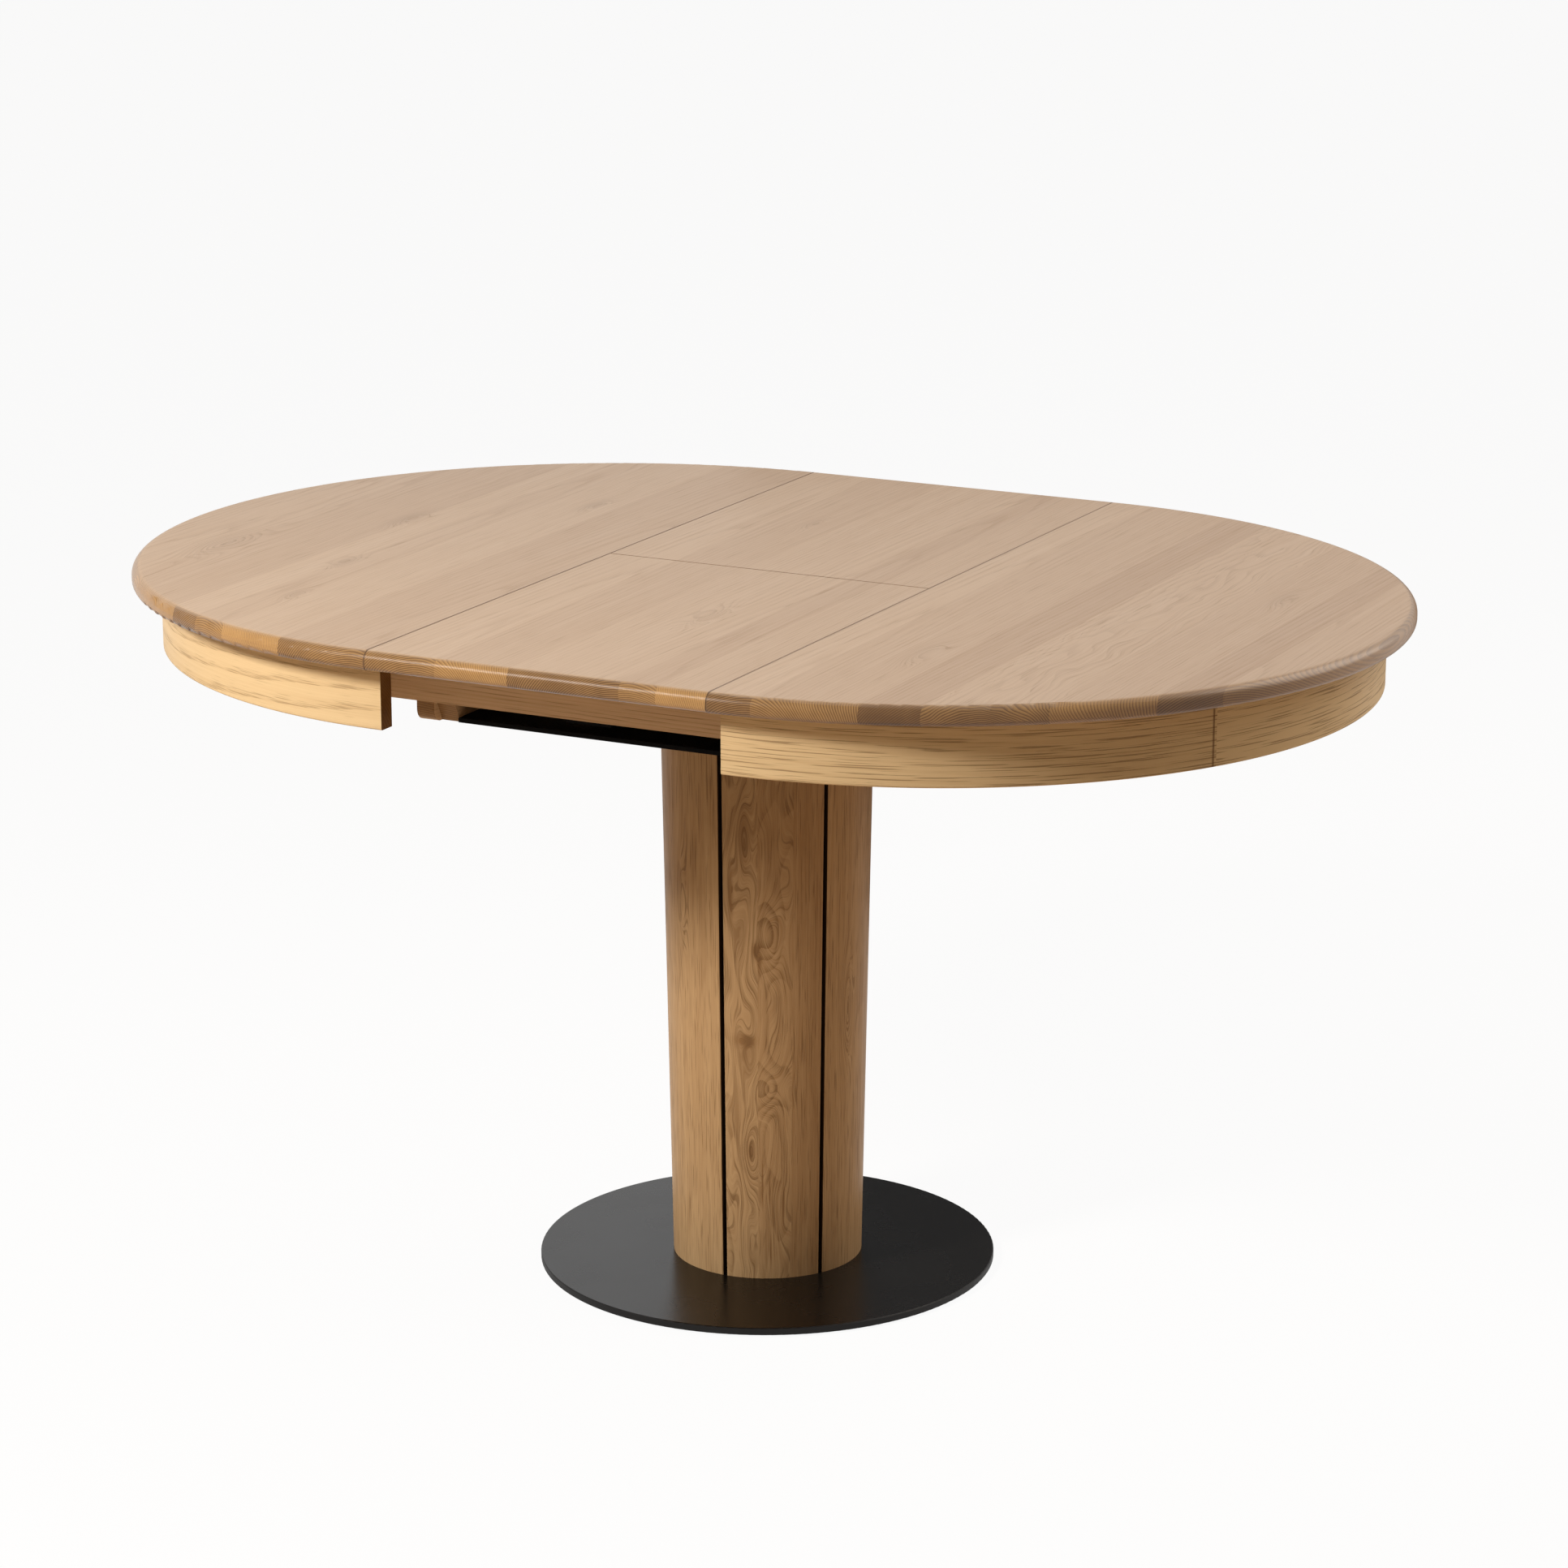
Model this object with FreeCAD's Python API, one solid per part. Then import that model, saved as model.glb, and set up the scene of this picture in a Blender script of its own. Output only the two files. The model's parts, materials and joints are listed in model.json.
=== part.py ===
"""Round oak extending table on a pedestal, drawn out, with its folding leaf in place.

X runs along the draw, Y across it and Z up. The origin is on the floor under the middle of the
table. The right half of the table is the left half turned half a turn about the middle.
"""
import FreeCAD, Part
import math
import os

# Driving sizes of the table top, in millimetres
TABLE_HEIGHT = 760.0
TOP_DIAMETER = 1000.0
LEAF_WIDTH = 371.0
TOP_THICKNESS = 20.0
TOP_EDGE_RADIUS = 10.0
TOP_LOWER_RADIUS = 6.0
SEAM_GAP = 0.5
SEAM_CHAMFER = 0.6

# Curved aprons under the two half tops, each glued up from equal segments
APRON_SETBACK = 30.0
APRON_THICKNESS = 20.0
APRON_HEIGHT = 66.0
APRON_EDGE_RADIUS = 2.0
APRON_SEGMENTS = ("front", "side", "back")
BLOCK_THICKNESS = 20.0
BLOCK_HEIGHT = 34.0
BLOCK_SPAN_DEGREES = 6.0
BLOCK_PLACES_DEGREES = (-30.0, 0.0, 30.0)
BLOCK_GAP = 6.0
BATTEN_WIDTH = 40.0
BATTEN_HEIGHT = 18.0
BATTEN_GAP = 40.0
BATTEN_LENGTH_SHARE = 0.73

# Foot and column
BASE_DIAMETER = 492.0
BASE_THICKNESS = 8.0
BASE_EDGE_RADIUS = 1.2
GLIDE_THICKNESS = 2.0
GLIDE_DIAMETER = 40.0
GLIDE_INSET = 30.0
GLIDE_COUNT = 6
COLUMN_TOP_DIAMETER = 227.0
COLUMN_FOOT_DIAMETER = 204.0
PANEL_FOOT_THICKNESS = 14.0
PANEL_GROOVE = 4.5
PANEL_EDGE_RADIUS = 1.5
PANEL_COUNT = 6
TUBE_WALL = 4.0
FLANGE_THICKNESS = 8.0
BOLT_DIAMETER = 10.0
BOLT_HEAD_DIAMETER = 17.0
BOLT_HEAD_HEIGHT = 6.0
BOLT_INSET = 24.0
BOLT_COUNT = 4

# Fixed frame on the column
RAIL_THICKNESS = 20.0
RAIL_OVERLAP = 60.0
INNER_RAIL_THICKNESS = 18.0
CROSS_HEIGHT = 23.0
CROSS_BOARD = 20.0
CROSS_OVERHANG = 12.0
CROSS_SETBACK = 8.0
CROSS_STEP = 4.0
CROSS_END_RADIUS = 12.0
LINING_SLOPE = 11.0
DOWEL_DIAMETER = 8.0
DOWEL_DEPTH = 9.0
TRAY_THICKNESS = 4.5
TRAY_SETBACK = 20.0
TRAY_TONGUE = 8.0
WELL_CLEARANCE = 12.0

# Runners of the half tops, and the racks and pinions that make both halves move alike
RUNNER_THICKNESS = 24.0
RUNNER_HEIGHT = 34.0
RUNNER_PAST_MIDDLE = 60.0
RUNNER_END_GAP = 6.0
TONGUE_DEPTH = 7.0
TONGUE_HEIGHT = 10.0
RACK_BACK = 6.0
RACK_HEIGHT = 12.0
RACK_END = 50.0
GEAR_MODULE = 2.0
PINION_TEETH = 12
PRESSURE_ANGLE_DEGREES = 20.0
PINION_HEIGHT = 14.0
ADDENDUM_SHARE = 0.75
DEDENDUM_SHARE = 1.25
AXLE_DIAMETER = 8.0
AXLE_HEAD_DIAMETER = 14.0
AXLE_HEAD_HEIGHT = 3.0
BRACKET_WIDTH = 50.0
BRACKET_THICKNESS = 3.0
SCREW_DIAMETER = 5.0
SCREW_HEAD_DIAMETER = 9.0
SCREW_HEAD_HEIGHT = 3.0
SCREW_BITE = 14.0
RUNNER_SCREW_SHARES = (0.12, 0.5, 0.88)
RAIL_SCREW_SHARES = (0.25, 0.75)

# Swing arms that carry the leaf between the top and the tray
ARM_INSET = 48.0
ARM_THICKNESS = 6.0
ARM_EYE_RADIUS = 7.0
ARM_ROD_DIAMETER = 8.0
ARM_PIN_DIAMETER = 8.0
PIN_HEAD_DIAMETER = 12.0
PIN_HEAD_HEIGHT = 2.5
LUG_THICKNESS = 8.0
LUG_FOOT = 28.0
LUG_FOOT_THICKNESS = 3.0
INNER_LUG_SHARE = 0.24
OUTER_LUG_SHARE = 0.92
HINGE_BARREL_DIAMETER = 12.0
HINGE_BARREL_LENGTH = 22.0
HINGE_PLACE_SHARES = (-0.36, 0.0, 0.36)

# Clearances
SEAT_CLEARANCE = 0.3
RUN_CLEARANCE = 0.5
PIN_CLEARANCE = 0.08
FIT_CLEARANCE = 0.3
FOLD_GAP = 0.3
STOW_CLEARANCE = 14.0
TRAY_CLEARANCE = 1.2
BACKLASH = 0.4
OVERRUN = 5.0

# Sizes that follow from those above
top_radius = TOP_DIAMETER / 2
top_underside = TABLE_HEIGHT - TOP_THICKNESS
seam_x = LEAF_WIDTH / 2 + SEAM_GAP
leaf_thickness = TOP_THICKNESS - SEAT_CLEARANCE
leaf_underside = TABLE_HEIGHT - leaf_thickness
apron_outer = top_radius - APRON_SETBACK
apron_inner = apron_outer - APRON_THICKNESS
apron_bottom = top_underside - APRON_HEIGHT
leaf_shift = top_radius / 2
leaf_drop = FOLD_GAP + leaf_thickness + TOP_THICKNESS + STOW_CLEARANCE
frame_level = leaf_underside - leaf_drop - SEAT_CLEARANCE
rail_top = top_underside - SEAT_CLEARANCE
cross_bottom = frame_level - CROSS_HEIGHT
tray_top = cross_bottom + TRAY_THICKNESS
base_top = GLIDE_THICKNESS + BASE_THICKNESS
column_top_radius = COLUMN_TOP_DIAMETER / 2
column_foot_radius = COLUMN_FOOT_DIAMETER / 2
column_top = cross_bottom
panel_inner = column_foot_radius - PANEL_FOOT_THICKNESS
tube_radius = panel_inner - FIT_CLEARANCE

# Tracks across the table, from the leaf well outwards
pitch_radius = GEAR_MODULE * PINION_TEETH / 2
rack_root = pitch_radius + GEAR_MODULE * DEDENDUM_SHARE
inner_rail_in = leaf_shift + WELL_CLEARANCE
inner_rail_out = inner_rail_in + INNER_RAIL_THICKNESS
inner_runner_in = inner_rail_out + RUN_CLEARANCE
inner_runner_out = inner_runner_in + RUNNER_THICKNESS
pinion_y = inner_runner_out + RACK_BACK + rack_root
outer_runner_in = pinion_y + rack_root + RACK_BACK
outer_runner_out = outer_runner_in + RUNNER_THICKNESS
rail_in = outer_runner_out + RUN_CLEARANCE
rail_out = rail_in + RAIL_THICKNESS
rail_reach = seam_x + RAIL_OVERLAP
runner_reach = math.sqrt(apron_inner ** 2 - (rail_in + TONGUE_DEPTH) ** 2) - RUNNER_END_GAP
left_runner_span = (-seam_x - runner_reach, RUNNER_PAST_MIDDLE)
right_runner_span = (-RUNNER_PAST_MIDDLE, seam_x + runner_reach)
runner_bottom = top_underside - RUNNER_HEIGHT
track_level = top_underside - RUNNER_HEIGHT / 2
cross_out = seam_x + CROSS_OVERHANG
cross_middle = cross_out - CROSS_BOARD
cross_in = cross_middle - CROSS_BOARD
cross_end = rail_out - CROSS_SETBACK
tray_end = rail_out - TRAY_SETBACK
tray_half = cross_in - SEAT_CLEARANCE
tongue_half = tray_half + TRAY_TONGUE

# Glue blocks and batten under a half top, clear of the runners
block_inner = apron_inner - BLOCK_THICKNESS
block_edge_degrees = math.degrees(math.asin((outer_runner_in - BLOCK_GAP) / apron_inner))
last_block_degrees = block_edge_degrees - BLOCK_SPAN_DEGREES / 2
batten_in = runner_reach + BATTEN_GAP
batten_out = batten_in + BATTEN_WIDTH
batten_half = math.sqrt(block_inner ** 2 - batten_out ** 2) * BATTEN_LENGTH_SHARE

# Swing of the leaf: the arms end flat, half the leaf's depth further across and lower by the drop
arm_length = (leaf_shift ** 2 + leaf_drop ** 2) / (2 * leaf_shift)
arm_lean = leaf_shift - arm_length
pivot_level = tray_top + TRAY_CLEARANCE + ARM_EYE_RADIUS
lug_level = pivot_level + leaf_drop
arm_offset = cross_in - ARM_INSET
lug_places = (-INNER_LUG_SHARE * leaf_shift, -OUTER_LUG_SHARE * leaf_shift)
pivot_places = [place + arm_lean for place in lug_places]
swing_degrees = 90 + math.degrees(math.asin(arm_lean / arm_length))


def box(x_span, y_span, z_span):
    """A block between three pairs of faces."""
    low = FreeCAD.Vector(min(x_span), min(y_span), min(z_span))
    high = FreeCAD.Vector(max(x_span), max(y_span), max(z_span))
    size = high - low
    return Part.makeBox(size.x, size.y, size.z, low)


def upright(radius, z_span, x=0, y=0):
    """A round bar that stands along Z."""
    return Part.makeCylinder(radius, z_span[1] - z_span[0], FreeCAD.Vector(x, y, z_span[0]))


def crosswise(radius, x_span, y, z):
    """A round bar that lies along X."""
    start = FreeCAD.Vector(min(x_span), y, z)
    return Part.makeCylinder(radius, abs(x_span[1] - x_span[0]), start, FreeCAD.Vector(1, 0, 0))


def turned(shape):
    """A copy turned half a turn about the table's middle."""
    copy = shape.copy()
    copy.rotate(FreeCAD.Vector(0, 0, 0), FreeCAD.Vector(0, 0, 1), 180)
    return copy


def mirrored_x(shape):
    """A copy on the other side of the middle plane across X."""
    return shape.mirror(FreeCAD.Vector(0, 0, 0), FreeCAD.Vector(1, 0, 0))


def polar(radius, degrees, z=0, x=0):
    """A point on a circle about the upright line at x."""
    angle = math.radians(degrees)
    return FreeCAD.Vector(x + radius * math.cos(angle), radius * math.sin(angle), z)


def outline(edges, sweep):
    """The solid that a closed outline sweeps."""
    return Part.Face(Part.Wire(edges)).extrude(sweep)


def arc(first, middle, last):
    return Part.Arc(first, middle, last).toShape()


def line(first, last):
    return Part.LineSegment(first, last).toShape()


def ring_sector(radii, degrees, z_span, x=0):
    """A part of a ring about the upright line at x."""
    inner, outer = radii
    first, last = degrees
    middle = (first + last) / 2
    z = z_span[0]
    edges = [
        arc(polar(outer, first, z, x), polar(outer, middle, z, x), polar(outer, last, z, x)),
        line(polar(outer, last, z, x), polar(inner, last, z, x)),
        arc(polar(inner, last, z, x), polar(inner, middle, z, x), polar(inner, first, z, x)),
        line(polar(inner, first, z, x), polar(outer, first, z, x)),
    ]
    return outline(edges, FreeCAD.Vector(0, 0, z_span[1] - z_span[0]))


def edges_where(shape, test):
    """The edges whose two ends both pass a test."""
    return [edge for edge in shape.Edges if all(test(vertex.Point) for vertex in edge.Vertexes)]


def near(value, target):
    return abs(value - target) < FIT_CLEARANCE


def save(name, *solids):
    """Write one sub-part, one solid or a group of them."""
    shape = solids[0] if len(solids) == 1 else Part.makeCompound(list(solids))
    shape.exportStep("parts/" + name + ".step")


def edge_profile(place, start, low, high):
    """The rounded edge of the top as wire edges, from a start distance out to the rim and back."""
    slope = math.sqrt(0.5)
    lower = TOP_LOWER_RADIUS
    upper = TOP_EDGE_RADIUS
    rim = top_radius
    corners = [
        place(start, low),
        place(rim - lower, low),
        place(rim - lower + lower * slope, low + lower - lower * slope),
        place(rim, low + lower),
        place(rim, high - upper),
        place(rim - upper + upper * slope, high - upper + upper * slope),
        place(rim - upper, high),
        place(start, high),
    ]
    return [
        line(corners[0], corners[1]),
        arc(corners[1], corners[2], corners[3]),
        line(corners[3], corners[4]),
        arc(corners[4], corners[5], corners[6]),
        line(corners[6], corners[7]),
        line(corners[7], corners[0]),
    ]


def bevel(corner, inwards, sweep):
    """The strip that a bevel takes off a top edge, from its corner inwards and down."""
    points = [corner, corner + inwards * SEAM_CHAMFER, corner - FreeCAD.Vector(0, 0, SEAM_CHAMFER)]
    return Part.Face(Part.makePolygon(points + points[:1])).extrude(sweep)


def half_top():
    """The left D-shaped half of the top, with a bevel along its seam."""
    centre = FreeCAD.Vector(-seam_x, 0, 0)

    def place(radius, z):
        return centre + FreeCAD.Vector(0, radius, z)

    face = Part.Face(Part.Wire(edge_profile(place, 0, top_underside, TABLE_HEIGHT)))
    top = face.revolve(centre, FreeCAD.Vector(0, 0, 1), 180).removeSplitter()
    end = FreeCAD.Vector(-seam_x, -top_radius, TABLE_HEIGHT)
    return top.cut(bevel(end, FreeCAD.Vector(-1, 0, 0), FreeCAD.Vector(0, TOP_DIAMETER, 0)))


def half_leaf():
    """The front half of the leaf, bevelled along its three seams."""
    half_width = LEAF_WIDTH / 2
    fold_y = -FOLD_GAP / 2

    def place(distance, z):
        return FreeCAD.Vector(-half_width, -distance, z)

    profile = edge_profile(place, -fold_y, leaf_underside, TABLE_HEIGHT)
    slab = outline(profile, FreeCAD.Vector(LEAF_WIDTH, 0, 0))
    along = FreeCAD.Vector(0, -top_radius, 0)
    left = FreeCAD.Vector(-half_width, fold_y, TABLE_HEIGHT)
    right = FreeCAD.Vector(half_width, fold_y, TABLE_HEIGHT)
    inwards = FreeCAD.Vector(1, 0, 0)
    return slab.cut([
        bevel(left, inwards, along),
        bevel(right, -inwards, along),
        bevel(left, FreeCAD.Vector(0, -1, 0), FreeCAD.Vector(LEAF_WIDTH, 0, 0)),
    ])


def hinge_barrels(extra=0):
    """Concealed hinge barrels let into the fold edge of the front half of the leaf."""
    radius = HINGE_BARREL_DIAMETER / 2 + extra
    level = TABLE_HEIGHT - leaf_thickness / 2
    end = -FOLD_GAP / 2
    back = end - HINGE_BARREL_LENGTH - extra
    return [Part.makeCylinder(radius, end - back, FreeCAD.Vector(share * LEAF_WIDTH, back, level),
                              FreeCAD.Vector(0, 1, 0)) for share in HINGE_PLACE_SHARES]


def apron_segment(index):
    """One glued segment of the left apron, its lower outer edge eased."""
    span = 180 / len(APRON_SEGMENTS)
    last = 270 - span * index
    radii = (apron_inner, apron_outer)
    segment = ring_sector(radii, (last - span, last), (apron_bottom, top_underside), -seam_x)

    def at_rim(point):
        return near(math.hypot(point.x + seam_x, point.y), apron_outer) and near(point.z, apron_bottom)

    return segment.makeFillet(APRON_EDGE_RADIUS, edges_where(segment, at_rim))


def apron_blocks():
    """Glue blocks in the corner between the left apron and its top."""
    blocks = []
    for place in (-last_block_degrees, *BLOCK_PLACES_DEGREES, last_block_degrees):
        middle = 180 + place
        span = (middle - BLOCK_SPAN_DEGREES / 2, middle + BLOCK_SPAN_DEGREES / 2)
        radii = (block_inner, apron_inner)
        blocks.append(ring_sector(radii, span, (top_underside - BLOCK_HEIGHT, top_underside), -seam_x))
    return blocks


def batten():
    """A batten across the grain that keeps the left half flat."""
    return box((-seam_x - batten_out, -seam_x - batten_in), (-batten_half, batten_half),
               (top_underside - BATTEN_HEIGHT, top_underside))


def screw(x, y, seat, depth, extra=0):
    """A screw that points up: its head is let in above the level seat."""
    head = upright(SCREW_HEAD_DIAMETER / 2 + extra, (seat, seat + SCREW_HEAD_HEIGHT), x, y)
    shank = upright(SCREW_DIAMETER / 2 + extra, (seat, seat + depth + extra), x, y)
    return head.fuse(shank)


def tongue_and_groove(rail, runner, face, outwards, x_rail, x_runner):
    """Groove the rail at its face and give the runner the tongue that slides there."""
    half = TONGUE_HEIGHT / 2
    deep = outwards * TONGUE_DEPTH
    near_face = face - outwards * RUN_CLEARANCE
    groove = box(x_rail, (face - outwards * OVERRUN, face + deep + outwards * RUN_CLEARANCE),
                 (track_level - half - RUN_CLEARANCE, track_level + half + RUN_CLEARANCE))
    tongue = box(x_runner, (near_face, face + deep), (track_level - half, track_level + half))
    return rail.cut(groove), runner.fuse(tongue).removeSplitter()


def front_track():
    """Outer and inner rail of the front, the left runner on the outer and the right on the inner one."""
    rail_span = (-rail_reach, rail_reach)
    past_rail = (-rail_reach - OVERRUN, rail_reach + OVERRUN)
    outer_rail = box(rail_span, (-rail_out, -rail_in), (frame_level, rail_top))
    inner_rail = box(rail_span, (-inner_rail_out, -inner_rail_in), (frame_level, rail_top))
    left = box(left_runner_span, (-outer_runner_out, -outer_runner_in), (runner_bottom, top_underside))
    right = box(right_runner_span, (-inner_runner_out, -inner_runner_in), (runner_bottom, top_underside))
    outer_rail, left = tongue_and_groove(outer_rail, left, -rail_in, -1, past_rail, left_runner_span)
    inner_rail, right = tongue_and_groove(inner_rail, right, -inner_rail_out, 1, past_rail,
                                          right_runner_span)
    return outer_rail, inner_rail, left, right


def runner_screw_places():
    """Where the left half's two runners are screwed to it: the front outer and the back inner one."""
    front = -(outer_runner_in + outer_runner_out) / 2
    back = (inner_runner_in + inner_runner_out) / 2
    return [(-seam_x - share * runner_reach, y) for share in RUNNER_SCREW_SHARES for y in (front, back)]


def rack():
    """The left front rack, teeth towards the back, with a gap opposite the pinion's tooth at rest."""
    pitch = math.pi * GEAR_MODULE
    tip = rack_root - GEAR_MODULE * (DEDENDUM_SHARE + ADDENDUM_SHARE)
    flank = math.tan(math.radians(PRESSURE_ANGLE_DEGREES))
    half_pitch_line = pitch / 4 - BACKLASH / 2
    half_root = half_pitch_line + (rack_root - pitch_radius) * flank
    half_tip = half_pitch_line - (pitch_radius - tip) * flank
    before = int((seam_x + pitch) / pitch)
    after = int(RACK_END / pitch)
    back = -pinion_y - rack_root - RACK_BACK
    low = track_level - RACK_HEIGHT / 2
    points = [FreeCAD.Vector(-(before + 1) * pitch, back, low)]
    points.append(FreeCAD.Vector(-(before + 1) * pitch, -pinion_y - rack_root, low))
    for count in range(-before, after):
        middle = (count - 0.5) * pitch
        tooth = ((-half_root, rack_root), (-half_tip, tip), (half_tip, tip), (half_root, rack_root))
        points += [FreeCAD.Vector(middle + offset, -pinion_y - distance, low) for offset, distance in tooth]
    points.append(FreeCAD.Vector(after * pitch, -pinion_y - rack_root, low))
    points.append(FreeCAD.Vector(after * pitch, back, low))
    face = Part.Face(Part.makePolygon(points + points[:1]))
    return face.extrude(FreeCAD.Vector(0, 0, RACK_HEIGHT))


def pinion():
    """The front pinion, its involute teeth thinned by the backlash, one tooth pointing at each rack."""
    base = pitch_radius * math.cos(math.radians(PRESSURE_ANGLE_DEGREES))
    root = pitch_radius - GEAR_MODULE * DEDENDUM_SHARE
    tip = pitch_radius + GEAR_MODULE * ADDENDUM_SHARE
    low = track_level - PINION_HEIGHT / 2

    def involute(radius):
        turn = math.acos(min(1, base / radius))
        return math.tan(turn) - turn

    half_tooth = (math.pi * GEAR_MODULE / 2 - BACKLASH) / 2 / pitch_radius + involute(pitch_radius)

    def flank(radius, side, middle):
        return polar(radius, middle + side * math.degrees(half_tooth - involute(radius)), low)

    body = upright(root, (low, low + PINION_HEIGHT))
    inside = root - BACKLASH
    knee = (base + tip) / 2
    for count in range(PINION_TEETH):
        middle = 90 + 360 * count / PINION_TEETH
        edges = [
            line(flank(inside, -1, middle), flank(base, -1, middle)),
            arc(flank(base, -1, middle), flank(knee, -1, middle), flank(tip, -1, middle)),
            arc(flank(tip, -1, middle), polar(tip, middle, low), flank(tip, 1, middle)),
            arc(flank(tip, 1, middle), flank(knee, 1, middle), flank(base, 1, middle)),
            line(flank(base, 1, middle), flank(inside, 1, middle)),
            line(flank(inside, 1, middle), flank(inside, -1, middle)),
        ]
        body = body.fuse(outline(edges, FreeCAD.Vector(0, 0, PINION_HEIGHT)))
    bore = upright(AXLE_DIAMETER / 2 + PIN_CLEARANCE, (low - OVERRUN, low + PINION_HEIGHT + OVERRUN))
    wheel = body.cut(bore).removeSplitter()
    wheel.translate(FreeCAD.Vector(0, -pinion_y, 0))
    return wheel


def axle():
    """Shoulder bolt that the front pinion turns on, from under its bracket to over the pinion."""
    low = track_level - PINION_HEIGHT / 2
    seat = low + PINION_HEIGHT + SEAT_CLEARANCE
    foot = frame_level - BRACKET_THICKNESS
    shank = upright(AXLE_DIAMETER / 2, (foot, seat), 0, -pinion_y)
    collar = upright(AXLE_HEAD_DIAMETER / 2, (frame_level, low - SEAT_CLEARANCE), 0, -pinion_y)
    head = upright(AXLE_HEAD_DIAMETER / 2, (seat, seat + AXLE_HEAD_HEIGHT), 0, -pinion_y)
    return shank.fuse([collar, head]).removeSplitter()


def pinion_bracket():
    """Steel strap under the two front rails that holds the axle."""
    half = BRACKET_WIDTH / 2
    strap = box((-half, half), (-rail_out, -inner_rail_in), (frame_level - BRACKET_THICKNESS, frame_level))
    past = (frame_level - OVERRUN, frame_level + OVERRUN)
    hole = upright(AXLE_DIAMETER / 2 + PIN_CLEARANCE, past, 0, -pinion_y)
    return strap.cut(hole)


def cross_board():
    """The outer board of the left cross-member, with rounded lower ends."""
    board = box((-cross_out, -cross_middle), (-cross_end, cross_end), (cross_bottom, frame_level))

    def low_end(point):
        return near(abs(point.y), cross_end) and near(point.z, cross_bottom)

    ends = [edge for edge in edges_where(board, low_end) if near(edge.BoundBox.YLength, 0)]
    return board.makeFillet(CROSS_END_RADIUS, ends)


def cross_lining():
    """The inner board of the left cross-member: its ends slope back, and it is rebated for the tray."""
    top_end = cross_end - CROSS_STEP
    low_end = top_end - LINING_SLOPE
    points = [(-top_end, frame_level), (top_end, frame_level),
              (low_end, cross_bottom), (-low_end, cross_bottom)]
    corners = [FreeCAD.Vector(-cross_middle, y, z) for y, z in points]
    board = Part.Face(Part.makePolygon(corners + corners[:1])).extrude(FreeCAD.Vector(CROSS_BOARD, 0, 0))
    rebate_end = leaf_shift + FIT_CLEARANCE
    return board.cut(box((-tongue_half - FIT_CLEARANCE, OVERRUN - cross_in), (-rebate_end, rebate_end),
                         (cross_bottom - OVERRUN, tray_top)))


def rail_screw_places():
    """Where screws come up through the left cross-member into the two inner rails."""
    y = (inner_rail_in + inner_rail_out) / 2
    x_places = [-cross_out + share * (cross_out - cross_in) for share in RAIL_SCREW_SHARES]
    return [(x, side * y) for x in x_places for side in (-1, 1)]


def rail_dowels(extra=0):
    """Dowels between the left cross board and the two outer rails."""
    x = -(cross_out + cross_middle) / 2
    y = (rail_in + cross_end) / 2
    reach = DOWEL_DEPTH + extra
    return [upright(DOWEL_DIAMETER / 2 + extra, (frame_level - reach, frame_level + reach), x, side * y)
            for side in (-1, 1)]


def tray():
    """Flat steel tray between the linings of the cross-members, with a tongue in the rebate of each."""
    plate = box((-tray_half, tray_half), (-tray_end, tray_end), (cross_bottom, tray_top))
    tongues = box((-tongue_half, tongue_half), (-leaf_shift, leaf_shift), (cross_bottom, tray_top))
    return plate.fuse(tongues).removeSplitter()


def bolt_places():
    circle = tube_radius - TUBE_WALL - BOLT_INSET
    return [polar(circle, 45 + 360 * count / BOLT_COUNT) for count in range(BOLT_COUNT)]


def bolts(head_span, shank_span, extra=0):
    """The ring of bolts that holds a flange of the column."""
    group = []
    for place in bolt_places():
        head = upright(BOLT_HEAD_DIAMETER / 2 + extra, head_span, place.x, place.y)
        shank = upright(BOLT_DIAMETER / 2 + extra, shank_span, place.x, place.y)
        group.append(head.fuse(shank).removeSplitter())
    return group


def column_panel(index):
    """One oak panel of the column between two grooves, thicker towards the top."""
    span = 360 / PANEL_COUNT
    groove = math.degrees(PANEL_GROOVE / column_top_radius)
    first = -90 + span * index + groove / 2
    panel_top = column_top - SEAT_CLEARANCE
    section = [(panel_inner, base_top), (column_foot_radius, base_top),
               (column_top_radius, panel_top), (panel_inner, panel_top)]
    corners = [polar(radius, first, level) for radius, level in section]
    side = Part.Face(Part.makePolygon(corners + corners[:1]))
    panel = side.revolve(FreeCAD.Vector(0, 0, 0), FreeCAD.Vector(0, 0, 1), span - groove)

    def outer(point):
        return math.hypot(point.x, point.y) > panel_inner + FIT_CLEARANCE

    upright_edges = [edge for edge in edges_where(panel, outer)
                     if near(edge.BoundBox.ZLength, panel.BoundBox.ZLength)]
    return panel.makeFillet(PANEL_EDGE_RADIUS, upright_edges)


def glides():
    """Pads that the foot stands on."""
    circle = BASE_DIAMETER / 2 - GLIDE_INSET
    places = [polar(circle, 360 * count / GLIDE_COUNT) for count in range(GLIDE_COUNT)]
    return [upright(GLIDE_DIAMETER / 2, (0, GLIDE_THICKNESS), place.x, place.y) for place in places]


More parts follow.
